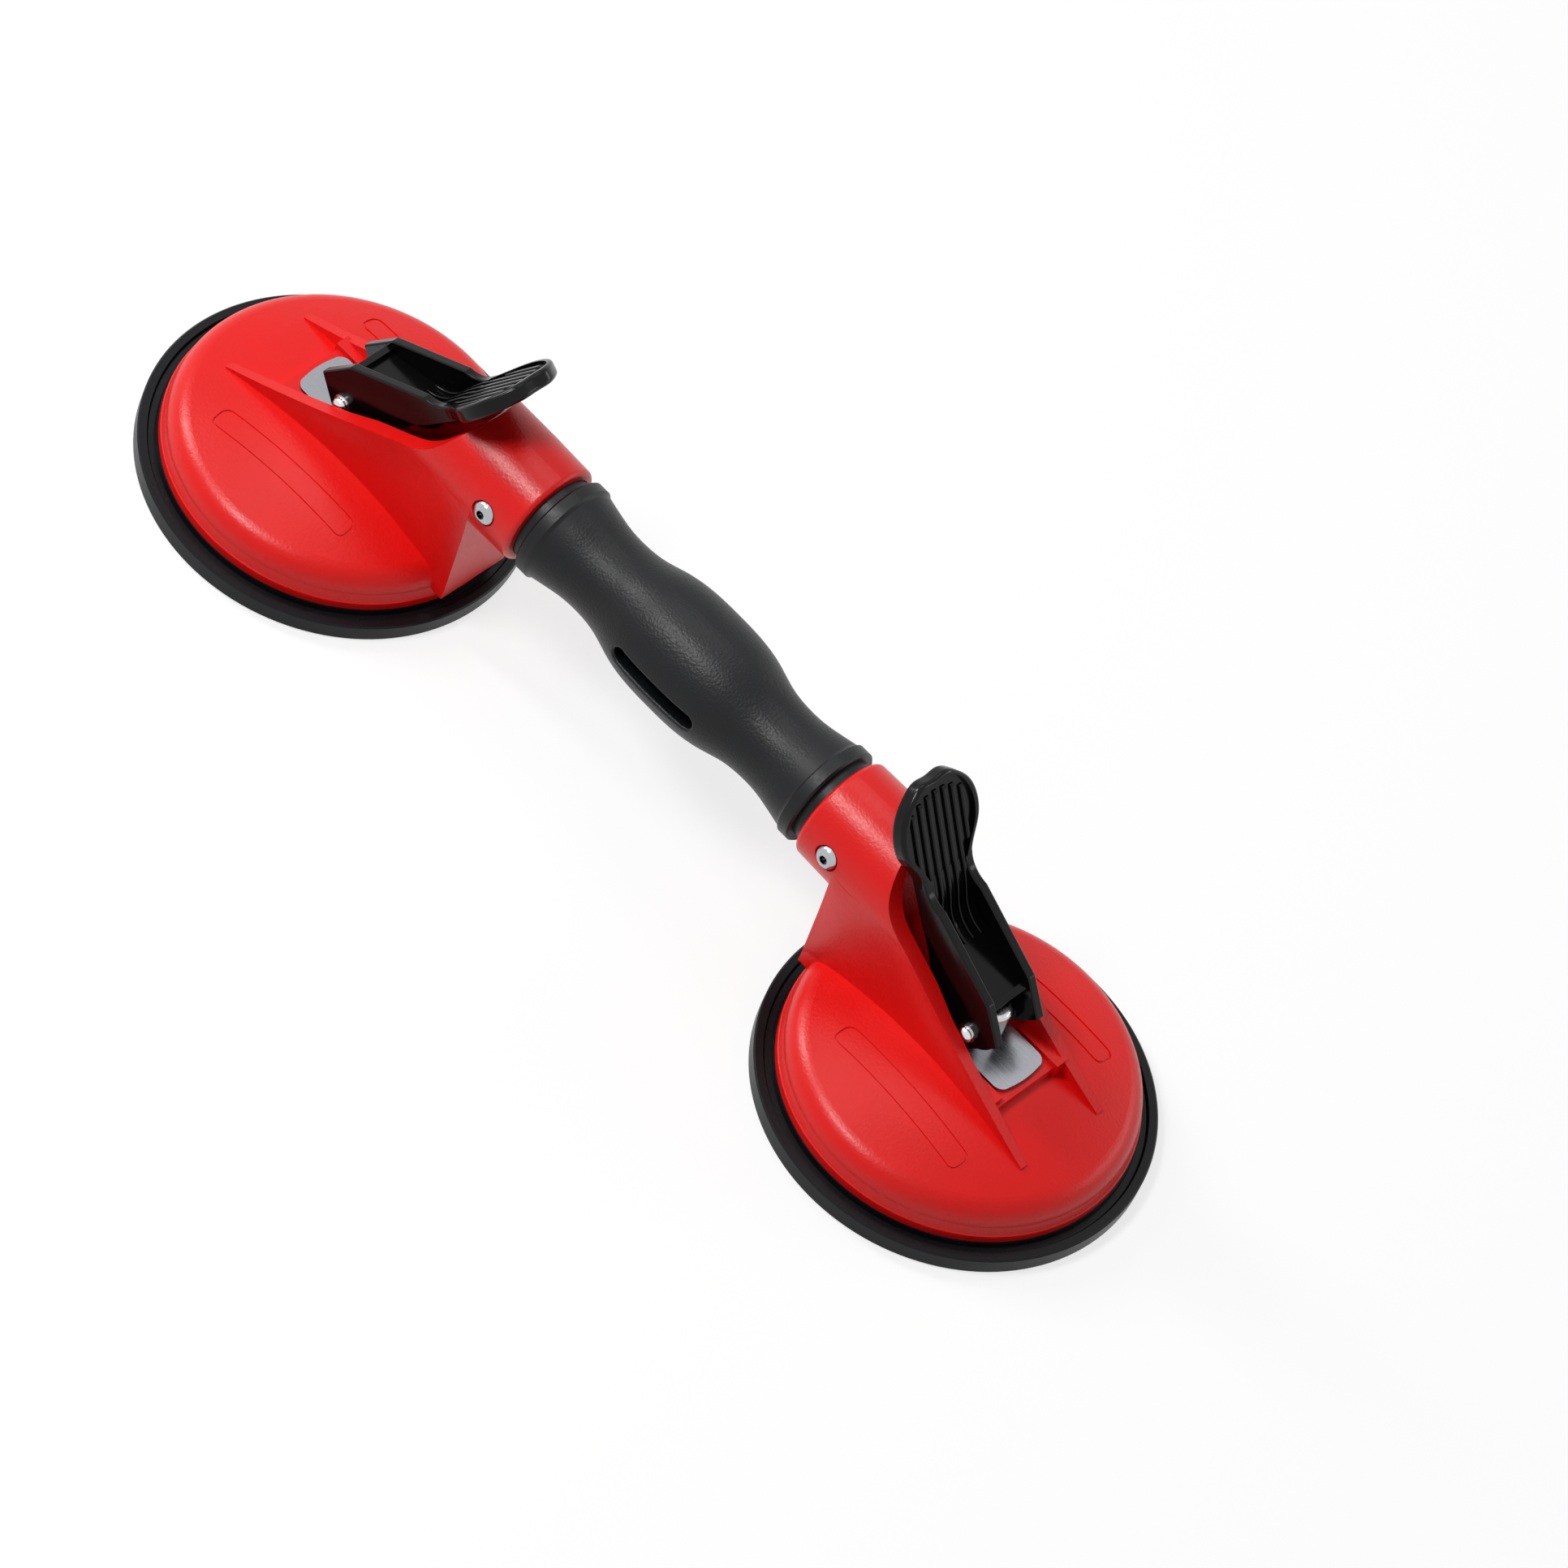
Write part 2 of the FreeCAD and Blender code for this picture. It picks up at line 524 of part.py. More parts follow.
def lever_pin():
    """Pin with a flanged, domed end on the near side and a clip groove on the far side."""
    y0, y1 = -FORK_HALF, FORK_HALF
    groove = y1 + 0.1
    steps = [("L", (PIN_R, y1 + 2.4)), ("L", (PIN_R, groove + 0.9)), ("L", (PIN_R - 0.6, groove + 0.9)),
             ("L", (PIN_R - 0.6, groove)), ("L", (PIN_R, groove)), ("L", (PIN_R, y0)), ("L", (3.1, y0)),
             ("L", (3.1, y0 - 0.6)), ("L", (PIN_R, y0 - 0.7)), ("L", (PIN_R, y0 - 1.0)),
             ("A", polar(2.0, -45, (PIN_R - 2.0, y0 - 1.0)), (PIN_R - 2.0, y0 - 3.0)), ("L", (0, y0 - 3.0))]
    pin = lathe((0, y1 + 2.4), steps)
    pin.rotate(V(0, 0, 0), V(1, 0, 0), -90)
    pin.translate(V(0, 0, PIN_Z))
    return pin


def pin_clip():
    """Open retaining clip snapped into the pin groove."""
    y = FORK_HALF + 0.1 + 0.05
    ring = rod(4.6, V(0, y, PIN_Z), V(0, y + 0.8, PIN_Z))
    ring = ring.cut([rod(PIN_R - 0.6 + PRESS_GAP, V(0, 0, PIN_Z), V(0, 40, PIN_Z)),
                     box(-1.5, 1.5, 0, 40, PIN_Z, PIN_Z + 20)])
    eye_z = PIN_Z - 1.4
    holes = [rod(0.8, V(s * 3.1, 0, eye_z), V(s * 3.1, 40, eye_z)) for s in (-1, 1)]
    return ring.cut(holes)


# ================================================================ clamp screw and insert
def clamp_screw():
    o, d = screw_axis(0.0)
    head = lathe((0, 0), [("L", (HEAD_R, 0)), ("L", (HEAD_R, 0.4)),
                          ("A", (HEAD_R * 0.76, HEAD_H * 0.78), (1.9, HEAD_H)), ("L", (0, HEAD_H))])
    hexa = Part.makePolygon([V(*polar(HEX_AF / math.sqrt(3), 60 * i), 0.9) for i in range(7)])
    head = head.cut(Part.Face(hexa).extrude(V(0, 0, 4)))
    shank = lathe((0, 0.1), [("L", (SCREW_R, 0.1)), ("L", (SCREW_R, -7.0)), ("L", (SCREW_R - 0.5, -7.6)),
                             ("L", (0, -7.6))])
    screw = head.fuse(shank).removeSplitter()
    return aim(screw, HEAD_SEAT_R)


def clamp_insert():
    """Knurled brass insert moulded into the spigot wall."""
    depth0 = CORE_R + 0.4
    depth1 = BORE_R - SPIGOT_GAP - 0.3
    body = rod(INSERT_R, V(0, 0, depth0), V(0, 0, depth1))
    groove = rod(INSERT_R + 1, V(0, 0, 11.6), V(0, 0, 12.3))
    groove = groove.cut(rod(INSERT_R - 0.5, V(0, 0, 0), V(0, 0, 20)))
    body = body.cut([groove, rod(SCREW_R + PRESS_GAP, V(0, 0, 0), V(0, 0, 20))])
    return aim(body, 0.0)


def aim(shape, radius):
    """Turn a +Z part onto the clamp screw axis, with its base at the given radius."""
    shape.translate(V(0, 0, radius))
    shape.rotate(V(0, 0, 0), V(1, 0, 0), 90 - SCREW_LIFT)
    shape.translate(V(HALF_SPAN - SCREW_X, 0, GRIP_Z))
    return shape


# ================================================================ handle grip
def handle_grip():
    spig_r = BORE_R - SPIGOT_GAP
    tip = HALF_SPAN - SOCKET_MOUTH_U + SPIGOT_LEN
    c0 = GRIP_END_X - COLLAR_W
    half = [(c0 - 0.6, COLLAR_R - 0.8), (47.0, 15.0), (40.5, 13.9), (WAIST_X, WAIST_R), (26.5, 14.5),
            (19.0, 16.6), (10.0, 18.1), (0.0, BULGE_R)]
    spline = [(-x, r) for x, r in half] + [(x, r) for x, r in half[-2::-1]]
    collar = [(c0, COLLAR_R - 0.5), (c0 + 0.5, COLLAR_R), (GRIP_END_X - 0.6, COLLAR_R),
              (GRIP_END_X, COLLAR_R - 0.6)]
    end = collar + [(GRIP_END_X, spig_r), (tip - 0.8, spig_r), (tip, spig_r - 0.8), (tip, CORE_R)]
    start = [(-x, r) for x, r in reversed(end)]
    outer = lathe_x(start[0], [("L", p) for p in start[1:]] + [("L", spline[0]), ("S", *spline[1:])]
                    + [("L", p) for p in end])
    a, w = SLOT_LEN / 2.0 - SLOT_W / 2.0, SLOT_W / 2.0
    slot = box(-a, a, -30, 0, GRIP_Z - w, GRIP_Z + w)
    slot = slot.fuse([rod(w, V(s * a, -30, GRIP_Z), V(s * a, 0, GRIP_Z)) for s in (-1, 1)])
    grip = outer.cut(slot)
    rim = edges_where(grip, lambda e: abs(e.CenterOfMass.x) < a + w and e.BoundBox.YMax < -GRIP_WALL_Y
                      and e.BoundBox.ZLength < SLOT_W + 1.0 and e.BoundBox.XLength < SLOT_LEN)
    grip = grip.makeFillet(SLOT_EDGE_R, rim)
    for s in (-1, 1):
        a0 = V(0, -math.cos(math.radians(SCREW_LIFT)), math.sin(math.radians(SCREW_LIFT)))
        o = V(s * SCREW_X, 0, GRIP_Z)
        pocket = rod(INSERT_R + PRESS_GAP, o + a0 * (CORE_R + 0.4), o + a0 * (spig_r - 0.3))
        grip = grip.cut([pocket, rod(SCREW_R + 0.25, o + a0 * 5, o + a0 * 20)])
    return grip.removeSplitter()


# ================================================================ assembly
SIDE_PARTS = {
    "housing": housing, "suction_pad": suction_pad, "pull_plate": pull_plate, "draw_stud": draw_stud,
    "guide_bush": guide_bush, "return_spring": return_spring, "wear_plate": wear_plate, "lever": lever,
    "lever_pin": lever_pin, "pin_clip": pin_clip, "clamp_screw": clamp_screw, "clamp_insert": clamp_insert,
}


def place(shape, hand):
    """Local parts have the handle toward +X; the right-hand end is their mirror image."""
    out = shape.copy() if hand < 0 else shape.mirror(V(0, 0, 0), V(1, 0, 0))
    out.translate(V(hand * HALF_SPAN, 0, 0))
    return out


def main():
    os.makedirs("parts", exist_ok=True)
    handle_grip().exportStep("parts/handle_grip.step")
    for name, build in SIDE_PARTS.items():
        shape = build()
        if not shape.isValid() or len(shape.Solids) != 1:
            print("check", name, shape.isValid(), len(shape.Solids))
        solid = shape.Solids[0]
        for hand, prefix in ((-1, "left_"), (1, "right_")):
            place(solid, hand).exportStep("parts/" + prefix + name + ".step")
        b = shape.BoundBox
        print("%-14s vol %9.1f  x %7.2f %7.2f  y %7.2f %7.2f  z %7.2f %7.2f" % (
            name, shape.Volume, b.XMin, b.XMax, b.YMin, b.YMax, b.ZMin, b.ZMax))


main()
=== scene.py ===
"""Looks of the floor tile suction lifter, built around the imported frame.

Every sub-assembly is a class that dresses its parts in their finishes.  The
solids keep their shapes.  Lengths are in metres, X runs along the handle, and
the floor is at height zero.
"""
from __future__ import annotations

import json
import logging
import math
from dataclasses import dataclass, field
from enum import Enum
from typing import ClassVar, Optional, Sequence

import bmesh
import bpy
from mathutils import Matrix, Vector

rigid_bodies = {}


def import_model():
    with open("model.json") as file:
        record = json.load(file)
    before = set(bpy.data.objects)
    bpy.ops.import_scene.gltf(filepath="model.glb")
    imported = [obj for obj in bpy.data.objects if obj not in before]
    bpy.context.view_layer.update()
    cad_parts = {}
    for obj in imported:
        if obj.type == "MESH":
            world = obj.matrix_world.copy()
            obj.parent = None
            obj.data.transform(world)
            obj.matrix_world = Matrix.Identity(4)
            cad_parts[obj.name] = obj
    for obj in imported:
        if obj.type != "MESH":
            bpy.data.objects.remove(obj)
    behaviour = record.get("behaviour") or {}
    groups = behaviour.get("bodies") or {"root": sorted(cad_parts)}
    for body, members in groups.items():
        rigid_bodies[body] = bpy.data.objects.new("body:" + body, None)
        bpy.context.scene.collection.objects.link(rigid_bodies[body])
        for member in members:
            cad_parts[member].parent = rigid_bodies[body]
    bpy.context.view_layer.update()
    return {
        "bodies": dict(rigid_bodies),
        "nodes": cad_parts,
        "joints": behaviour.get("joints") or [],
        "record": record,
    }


log = logging.getLogger("lifter")
Rgb = tuple[float, float, float]
Rgba = tuple[float, float, float, float]
Point = tuple[float, float, float]
Span = tuple[float, float]
Socket = bpy.types.NodeSocket
MM = 0.001
WHITE: Rgba = (1.0, 1.0, 1.0, 1.0)
WHOLE: Span = (0.0, 1.0)


# --------------------------------------------------------------- shared words
class Hand(Enum):
    """The two ends of the lifter, by the start of their parts' names."""

    LEFT = "left_"
    RIGHT = "right_"


class Grain(Enum):
    """Surfaces that a mould leaves, by the share of round cells in their relief."""

    FINE = 0.25
    PEBBLE = 0.75
    POLISHED = 0.0


@dataclass(frozen=True)
class NoiseLayer:
    """How fine a noise is.  One without a scale gets it from its group's input."""

    detail: float
    roughness: float = 0.5
    scale: Optional[float] = None


def rgba(colour: Rgb, scale: float = 1.0) -> Rgba:
    """A colour with full alpha, made darker or paler by scale."""
    return (colour[0] * scale, colour[1] * scale, colour[2] * scale, 1.0)


# --------------------------------------------------------------- node helpers
@dataclass
class Graph:
    """A node tree with short calls for adding and joining nodes."""

    tree: bpy.types.NodeTree

    # sockets of a Mix node that mixes colours
    MIX_FACTOR: ClassVar[int] = 0
    MIX_FIRST: ClassVar[int] = 6
    MIX_SECOND: ClassVar[int] = 7
    MIX_RESULT: ClassVar[int] = 2

    def join(self, value: object, target: Socket) -> None:
        """Feeds an input.

        Args:
            value: A socket to link to it, or a plain value to set.
            target: The input.
        """
        if isinstance(value, Socket):
            self.tree.links.new(value, target)
        else:
            target.default_value = value

    def add(self, kind: str, links: Optional[dict] = None, **settings: object) -> bpy.types.Node:
        """Adds a node.

        Args:
            kind: The node's type name.
            links: Input name or number to a socket to join, or a plain value.
            **settings: Properties set on the node.

        Returns:
            The new node.
        """
        node = self.tree.nodes.new(kind)
        for key, value in settings.items():
            setattr(node, key, value)
        for key, value in (links or {}).items():
            self.join(value, node.inputs[key])
        return node

    def maths(self, operation: str, a: object, b: object = 0.0, clamp: bool = False) -> Socket:
        """One Math node on two values or sockets; returns its result."""
        node = self.add("ShaderNodeMath", {0: a, 1: b}, operation=operation, use_clamp=clamp)
        return node.outputs[0]

    def vector_maths(self, operation: str, a: Socket, b: object) -> Socket:
        """One Vector Math node on two vectors or sockets; returns its result."""
        return self.add("ShaderNodeVectorMath", {0: a, 1: b}, operation=operation).outputs[0]

    def ramp(self, value: Socket, span: Span, to: Span = WHOLE) -> Socket:
        """Takes one range smoothly to another.

        Args:
            value: What is mapped.
            span: The range that is read.
            to: What its two ends become.

        Returns:
            The mapped value.
        """
        ends = {"From Min": span[0], "From Max": span[1], "To Min": to[0], "To Max": to[1]}
        node = self.add("ShaderNodeMapRange", {"Value": value, **ends},
                        interpolation_type="SMOOTHSTEP")
        return node.outputs["Result"]

    def blend(self, factor: Socket, first: object, second: object) -> Socket:
        """Mixes two colours.

        Args:
            factor: Zero for the first colour and one for the second.
            first: A colour, or a socket that gives it.
            second: A colour, or a socket that gives it.

        Returns:
            The mixed colour.
        """
        inputs = {self.MIX_FACTOR: factor, self.MIX_FIRST: first, self.MIX_SECOND: second}
        return self.add("ShaderNodeMix", inputs, data_type="RGBA").outputs[self.MIX_RESULT]

    def noise(self, place: Socket, layer: NoiseLayer,
              scale: Optional[Socket] = None) -> bpy.types.NodeOutputs:
        """Adds a noise.

        Args:
            place: Where it is read.
            layer: How fine it is.
            scale: A socket that gives its scale, where the layer has none.

        Returns:
            Its outputs, the first a value and "Color" three values.
        """
        size = layer.scale if scale is None else scale
        inputs = {"Vector": place, "Scale": size, "Detail": layer.detail,
                  "Roughness": layer.roughness}
        return self.add("ShaderNodeTexNoise", inputs).outputs

    def split(self, vector: Socket) -> Sequence[Socket]:
        """The X, Y and Z of a vector."""
        return self.add("ShaderNodeSeparateXYZ", {0: vector}).outputs[:]

    def seen_directly(self) -> Socket:
        """Tells a ray that shows a surface from one that only lights with it.

        Returns:
            One for a ray from the camera or off a glossy or clear surface, and zero otherwise.
        """
        path = self.add("ShaderNodeLightPath").outputs
        mirrored = self.maths("ADD", path["Is Glossy Ray"], path["Is Transmission Ray"])
        return self.maths("ADD", path["Is Camera Ray"], mirrored, clamp=True)


# --------------------------------------------------------------- shared effects
class SharedEffects:
    """Node groups that several finishes use, each built once."""

    # relief of a moulded surface
    WARP: ClassVar[NoiseLayer] = NoiseLayer(detail=1.0, scale=900.0)
    WARP_REACH: ClassVar[float] = 0.0004
    CELL_SOFTNESS: ClassVar[float] = 0.6
    SAND: ClassVar[NoiseLayer] = NoiseLayer(detail=3.0, roughness=0.55)
    WAVE: ClassVar[NoiseLayer] = NoiseLayer(detail=2.0, scale=55.0)
    PIT_EDGES: ClassVar[Span] = (0.35, 0.8)
    # marks of use
    SMEAR: ClassVar[NoiseLayer] = NoiseLayer(detail=4.0, roughness=0.6)
    SMEAR_EDGES: ClassVar[Span] = (0.35, 0.7)
    SCUFF: ClassVar[NoiseLayer] = NoiseLayer(detail=5.0, roughness=0.7)
    SCUFF_EDGES: ClassVar[Span] = (0.6, 0.72)
    SCUFF_STRETCH: ClassVar[Point] = (1.0, 5.0, 2.0)
    SCUFF_TURN: ClassVar[Point] = (0.3, 0.2, 0.7)
    SPECK: ClassVar[NoiseLayer] = NoiseLayer(detail=1.0, scale=2600.0)
    SPECK_EDGES: ClassVar[Span] = (0.62, 0.74)
    UPWARD: ClassVar[Span] = (0.55, 1.0)
    # drawn or ground metal
    LINES: ClassVar[NoiseLayer] = NoiseLayer(detail=4.0, roughness=0.65)
    LINE_STRETCH: ClassVar[Point] = (0.06, 1.0, 1.0)
    LINE_SHARE: ClassVar[float] = 0.7
    LINE_EDGES: ClassVar[Span] = (0.3, 0.7)
    CLOUD: ClassVar[NoiseLayer] = NoiseLayer(detail=2.0, scale=160.0)
    CLOUD_SHARE: ClassVar[float] = 0.3

    def __init__(self) -> None:
        """Builds the grain, handling and brushing groups."""
        self.grain = self._grain()
        self.handling = self._handling()
        self.brushing = self._brushing()

    @staticmethod
    def _open(name: str, values: dict[str, float], outputs: Sequence[str]
              ) -> tuple[Graph, Sequence[Socket], bpy.types.NodeInputs]:
        """Starts a node group that reads a vector and some values.

        Args:
            name: The group's name.
            values: Name and default of each value that it reads.
            outputs: Name of each value that it puts out.

        Returns:
            The group's graph, the vector and the values that it reads, and the sockets
            that take what it puts out.
        """
        tree = bpy.data.node_groups.new(name, "ShaderNodeTree")
        new = tree.interface.new_socket
        new(name="Vector", in_out="INPUT", socket_type="NodeSocketVector")
        for label, default in values.items():
            socket = new(name=label, in_out="INPUT", socket_type="NodeSocketFloat")
            socket.default_value = default
        for label in outputs:
            new(name=label, in_out="OUTPUT", socket_type="NodeSocketFloat")
        g = Graph(tree)
        reads = g.add("NodeGroupInput").outputs[:1 + len(values)]
        return g, reads, g.add("NodeGroupOutput").inputs

    def _grain(self) -> bpy.types.NodeTree:
        """Height of a moulded surface: cells of the tool's etching over slow waviness.

        Returns:
            The group.
        """
        g, (place, scale, share, waviness), out = self._open(
            "Mould Grain", {"Scale": 1500.0, "Cells": 0.5, "Waviness": 0.2}, ("Height", "Pits"))
        warp = g.noise(place, self.WARP)["Color"]
        bent = g.vector_maths("MULTIPLY", warp, (self.WARP_REACH,) * 3)
        cells = g.add("ShaderNodeTexVoronoi", {"Vector": g.vector_maths("ADD", place, bent),
                                               "Scale": scale, "Smoothness": self.CELL_SOFTNESS},
                      feature="SMOOTH_F1").outputs["Distance"]
        pebbles = g.maths("MULTIPLY", g.maths("SUBTRACT", 1.0, cells), share)
        sand = g.maths("MULTIPLY", g.noise(place, self.SAND, scale)[0],
                       g.maths("SUBTRACT", 1.0, share))
        wave = g.maths("MULTIPLY", g.noise(place, self.WAVE)[0], waviness)
        g.join(g.maths("ADD", g.maths("ADD", pebbles, sand), wave), out["Height"])
        g.join(g.ramp(cells, self.PIT_EDGES), out["Pits"])
        return g.tree

    def _handling(self) -> bpy.types.NodeTree:
        """Masks of use: soft smears, fine scuffs, and dust on what faces up.

        Returns:
            The group.
        """
        g, (place, smear_scale, scuff_scale), out = self._open(
            "Handling", {"Smear Scale": 30.0, "Scuff Scale": 240.0}, ("Smears", "Scuffs", "Dust"))
        smears = g.noise(place, self.SMEAR, smear_scale)[0]
        stretched = g.add("ShaderNodeMapping", {"Vector": place, "Scale": self.SCUFF_STRETCH,
                                                "Rotation": self.SCUFF_TURN})
        scuffs = g.noise(stretched.outputs[0], self.SCUFF, scuff_scale)[0]
        specks = g.ramp(g.noise(place, self.SPECK)[0], self.SPECK_EDGES)
        _, _, rise = g.split(g.add("ShaderNodeNewGeometry").outputs["Normal"])
        dust = g.maths("MULTIPLY", specks, g.ramp(rise, self.UPWARD))
        g.join(g.ramp(smears, self.SMEAR_EDGES), out["Smears"])
        g.join(g.ramp(scuffs, self.SCUFF_EDGES), out["Scuffs"])
        g.join(dust, out["Dust"])
        return g.tree

    def _brushing(self) -> bpy.types.NodeTree:
        """Fine rolled or ground lines along one direction of metal.

        Returns:
            The group.
        """
        g, (place, scale), out = self._open("Brushing", {"Scale": 900.0}, ("Lines", "Height"))
        drawn = g.add("ShaderNodeMapping", {"Vector": place, "Scale": self.LINE_STRETCH})
        lines = g.noise(drawn.outputs[0], self.LINES, scale)[0]
        cloud = g.noise(place, self.CLOUD)[0]
        both = g.maths("ADD", g.maths("MULTIPLY", lines, self.LINE_SHARE),
                       g.maths("MULTIPLY", cloud, self.CLOUD_SHARE))
        g.join(g.ramp(both, self.LINE_EDGES), out["Lines"])
        g.join(lines, out["Height"])
        return g.tree


# --------------------------------------------------------------- finishes
def start_material(name: str) -> tuple[bpy.types.Material, Graph, bpy.types.Node, Socket]:
    """Starts a material.

    Args:
        name: The material's name.

    Returns:
        The material, its graph, its shader, and the piece's own coordinates.
    """
    material = bpy.data.materials.new(name)
    material.use_nodes = True
    g = Graph(material.node_tree)
    shader = material.node_tree.nodes["Principled BSDF"]
    return material, g, shader, g.add("ShaderNodeTexCoord").outputs["Object"]


def add_relief(g: Graph, shader: bpy.types.Node, height: Socket, depth: float) -> None:
    """Gives a material its relief.

    Args:
        g: The material's graph.
        shader: Its shader.
        height: The relief, from zero to about one.
        depth: How deep it is.
    """
    bump = g.add("ShaderNodeBump", {"Height": height, "Strength": 1.0, "Distance": depth})
    g.join(bump.outputs[0], shader.inputs["Normal"])


@dataclass(frozen=True)
class MouldedPlastic:
    """A moulded plastic or rubber finish.

    Where smooth_beyond isn't zero, the grain fades out at that distance from the
    middle of the piece along X.
    """

    name: str
    colour: Rgb
    roughness: float
    grain: Grain
    grain_scale: float
    grain_depth: float
    specular: float = 0.5
    scuff_pale: float = 0.12
    dust: float = 0.0
    smooth_beyond: float = 0.0

    # the same on every plastic
    WAVINESS: ClassVar[float] = 0.25
    PIT_ROUGHNESS: ClassVar[float] = 0.05
    SMEAR_GLOSS: ClassVar[float] = 0.06
    SMEAR_SHARE: ClassVar[float] = 0.35
    SMEAR_SHADE: ClassVar[float] = 0.88
    SCUFF_GAIN: ClassVar[float] = 1.25
    SCUFF_LIFT: ClassVar[float] = 0.03
    DUST_COLOUR: ClassVar[Rgb] = (0.6, 0.58, 0.55)
    FADE_LENGTH: ClassVar[float] = 0.006
    FADED_GRAIN: ClassVar[float] = 0.12

    def make(self, effects: SharedEffects) -> bpy.types.Material:
        """Builds the material.

        Args:
            effects: The shared node groups.

        Returns:
            The finished material.
        """
        material, g, shader, place = start_material(self.name)
        grain = g.add("ShaderNodeGroup", {"Vector": place, "Scale": self.grain_scale,
                                          "Cells": self.grain.value, "Waviness": self.WAVINESS},
                      node_tree=effects.grain).outputs
        use = g.add("ShaderNodeGroup", {"Vector": place}, node_tree=effects.handling).outputs
        g.join(self._tone(g, use), shader.inputs["Base Color"])
        smeared = g.maths("MULTIPLY", use["Smears"], -self.SMEAR_GLOSS)
        pitted = g.maths("MULTIPLY", grain["Pits"], self.PIT_ROUGHNESS)
        rough = g.maths("ADD", g.maths("ADD", self.roughness, smeared), pitted, clamp=True)
        g.join(rough, shader.inputs["Roughness"])
        g.join(self.specular, shader.inputs["Specular IOR Level"])
        height = grain["Height"]
        if self.smooth_beyond:
            height = g.maths("MULTIPLY", height, self._fade(g, place))
        add_relief(g, shader, height, self.grain_depth)
        return material

    def _tone(self, g: Graph, use: bpy.types.NodeOutputs) -> Socket:
        """Scuffs, smears and dust over the plastic's own colour.

        Args:
            g: The material's graph.
            use: The masks of use.

        Returns:
            The colour.
        """
        pale = tuple(min(1.0, part * self.SCUFF_GAIN + self.SCUFF_LIFT) for part in self.colour)
        scuffs = g.maths("MULTIPLY", use["Scuffs"], self.scuff_pale)
        tone = g.blend(scuffs, rgba(self.colour), rgba(pale))
        smears = g.ramp(use["Smears"], WHOLE, (0.0, self.SMEAR_SHARE))
        tone = g.blend(smears, tone, rgba(self.colour, self.SMEAR_SHADE))
        if self.dust:
            settled = g.maths("MULTIPLY", use["Dust"], self.dust)
            tone = g.blend(settled, tone, rgba(self.DUST_COLOUR))
        return tone

    def _fade(self, g: Graph, place: Socket) -> Socket:
        """Share of the grain that stays, with both ends of the piece left smooth.

        Args:
            g: The material's graph.
            place: The piece's own coordinates.

        Returns:
            One over the middle, falling to FADED_GRAIN at smooth_beyond from it.
        """
        span = (self.smooth_beyond - self.FADE_LENGTH, self.smooth_beyond)
        x, _, _ = g.split(place)
        return g.ramp(g.maths("ABSOLUTE", x), span, (1.0, self.FADED_GRAIN))


@dataclass(frozen=True)
class ScrewSocket:
    """The hexagon socket of a clamp screw, in the same place at both ends, darkened with painted
    shade.
    """

    along: float
    height: float
    tilt: float
    # painted shade fills the socket out to the first radius and fades out by the second
    shaded_radius: float = 1.25 * MM
    unshaded_radius: float = 1.5 * MM

    def painted_shade(self, g: Graph, place: Socket) -> Socket:
        """Marks the painted shade inside the socket.

        Args:
            g: The material's graph.
            place: The piece's own coordinates.

        Returns:
            One inside the socket and zero outside it.
        """
        x, y, z = g.split(place)
        along = g.maths("SUBTRACT", g.maths("ABSOLUTE", x), self.along)
        rise = g.maths("SUBTRACT", z, self.height)
        across = g.maths("ADD", g.maths("MULTIPLY", y, math.sin(self.tilt)),
                         g.maths("MULTIPLY", rise, math.cos(self.tilt)))
        square = g.maths("ADD", g.maths("MULTIPLY", along, along),
                         g.maths("MULTIPLY", across, across))
        edge = (self.shaded_radius, self.unshaded_radius)
        return g.ramp(g.maths("SQRT", square), edge, (1.0, 0.0))


